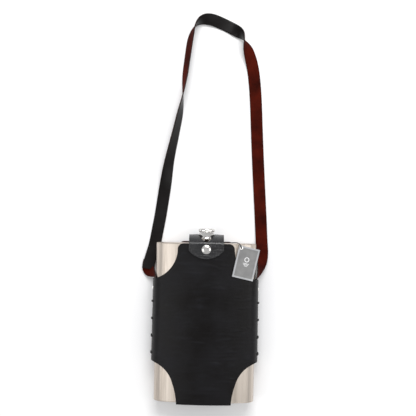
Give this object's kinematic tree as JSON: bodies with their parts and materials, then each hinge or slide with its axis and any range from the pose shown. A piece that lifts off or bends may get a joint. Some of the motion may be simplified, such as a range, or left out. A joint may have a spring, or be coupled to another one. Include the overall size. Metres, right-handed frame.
{
  "type": "canteen",
  "caption": "Flat steel canteen of the hip-flask kind in a laced leather sleeve, with a captive screw cap, snap closure tab, shoulder strap and hang tag.",
  "frame": {"origin": "centre of the bottom of the object's box as it lies on its back, without the shoulder strap", "axes": "+Y from the base to the cap, +Z from the back to the front, +X to the right seen from the front"},
  "size_m": [0.2053, 0.6266, 0.0605],
  "materials": {
    "steel": "satin stainless steel, brushed along its height",
    "chrome": "polished",
    "hide": "black full-grain leather, waxed, brown flesh side and edges",
    "strap_hide": "black grain side, red-brown flesh side",
    "lace": "black round leather thong",
    "seal": "soft pale washer",
    "tag": "grey coated card with a paler border",
    "cord": "black waxed cord"
  },
  "bodies": {
    "canteen": {"flask_body": "steel", "flask_shoulder": "steel", "flask_base": "steel", "neck": "chrome", "neck_collar": "chrome", "hinge_bracket": "chrome", "sleeve_front": "hide", "sleeve_back": "hide", "sleeve_base": "hide", "tab_bridge": "hide", "snap_stud": "chrome", "lace_left": "lace", "lace_right": "lace", "strap_anchor_left": "strap_hide", "strap_anchor_right": "strap_hide", "strap_rivets_left": "chrome", "strap_rivets_right": "chrome", "strap_lug_left": "strap_hide", "shoulder_strap": "strap_hide", "hang_tag": "tag", "tag_eyelet": "chrome", "tag_cord": "cord"},
    "arm": {"hinge_pin": "chrome", "cap_arm": "chrome"},
    "cap": {"cap_skirt": "chrome", "cap_disc": "chrome", "cap_seal": "seal"},
    "flap": {"tab_flap": "hide", "snap_cap": "chrome", "snap_socket": "chrome"}
  },
  "joints": [
    {"name": "cap_rise", "type": "slide", "parent": "canteen", "child": "arm", "axis": [0, 1, 0], "range_m": [0, 0.004]},
    {"name": "cap_turn", "type": "hinge", "parent": "arm", "child": "cap", "pos_m": [0, 0.1275, 0.02973], "axis": [0, 1, 0], "range_deg": [0, 720]},
    {"name": "flap_lift", "type": "hinge", "parent": "canteen", "child": "flap", "pos_m": [0, 0.1163, 0.0578], "axis": [1, 0, 0], "range_deg": [-150, 0]}
  ],
  "couplings": [
    {"joint": "cap_rise", "follows": "cap_turn", "m_per_rad": 0.000318}
  ]
}
